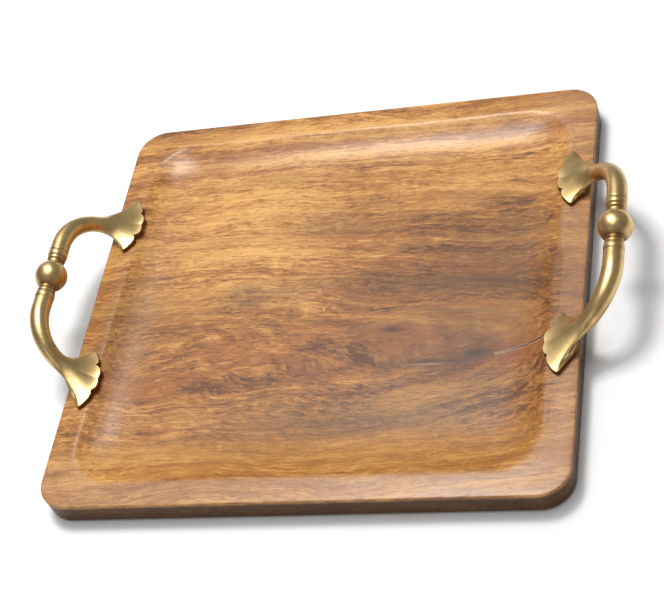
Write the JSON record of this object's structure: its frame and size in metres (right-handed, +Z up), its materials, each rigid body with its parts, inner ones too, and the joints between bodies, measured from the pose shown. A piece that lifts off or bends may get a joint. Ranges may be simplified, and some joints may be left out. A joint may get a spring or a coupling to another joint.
{
  "type": "serving tray",
  "caption": "Square carved wooden serving tray with a dished recess, rounded corners and cast antique-brass bail handles with turned beads.",
  "frame": {"origin": "centre of the rectangle round the whole tray, on the plane it stands on", "axes": "+X from the left handle to the right handle, +Y from the front edge to the back edge, +Z up"},
  "size_m": [0.4198, 0.335, 0.0636],
  "materials": {
    "board_wood": "lacquered, satin to semi-gloss",
    "handle_brass": "antique satin",
    "fixing_steel": "zinc-plated",
    "pad_felt": "matt felt"
  },
  "bodies": {
    "root": {"board_rear": "board_wood", "board_front": "board_wood", "arm_left_rear": "handle_brass", "arm_left_front": "handle_brass", "arm_right_rear": "handle_brass", "arm_right_front": "handle_brass", "bead_left": "handle_brass", "bead_right": "handle_brass", "stud_left": "fixing_steel", "stud_right": "fixing_steel", "screw_left_rear": "fixing_steel", "screw_left_front": "fixing_steel", "screw_right_rear": "fixing_steel", "screw_right_front": "fixing_steel", "washer_left_rear": "fixing_steel", "washer_left_front": "fixing_steel", "washer_right_rear": "fixing_steel", "washer_right_front": "fixing_steel", "pad_left_rear": "pad_felt", "pad_left_front": "pad_felt", "pad_right_rear": "pad_felt", "pad_right_front": "pad_felt"}
  },
  "joints": []
}
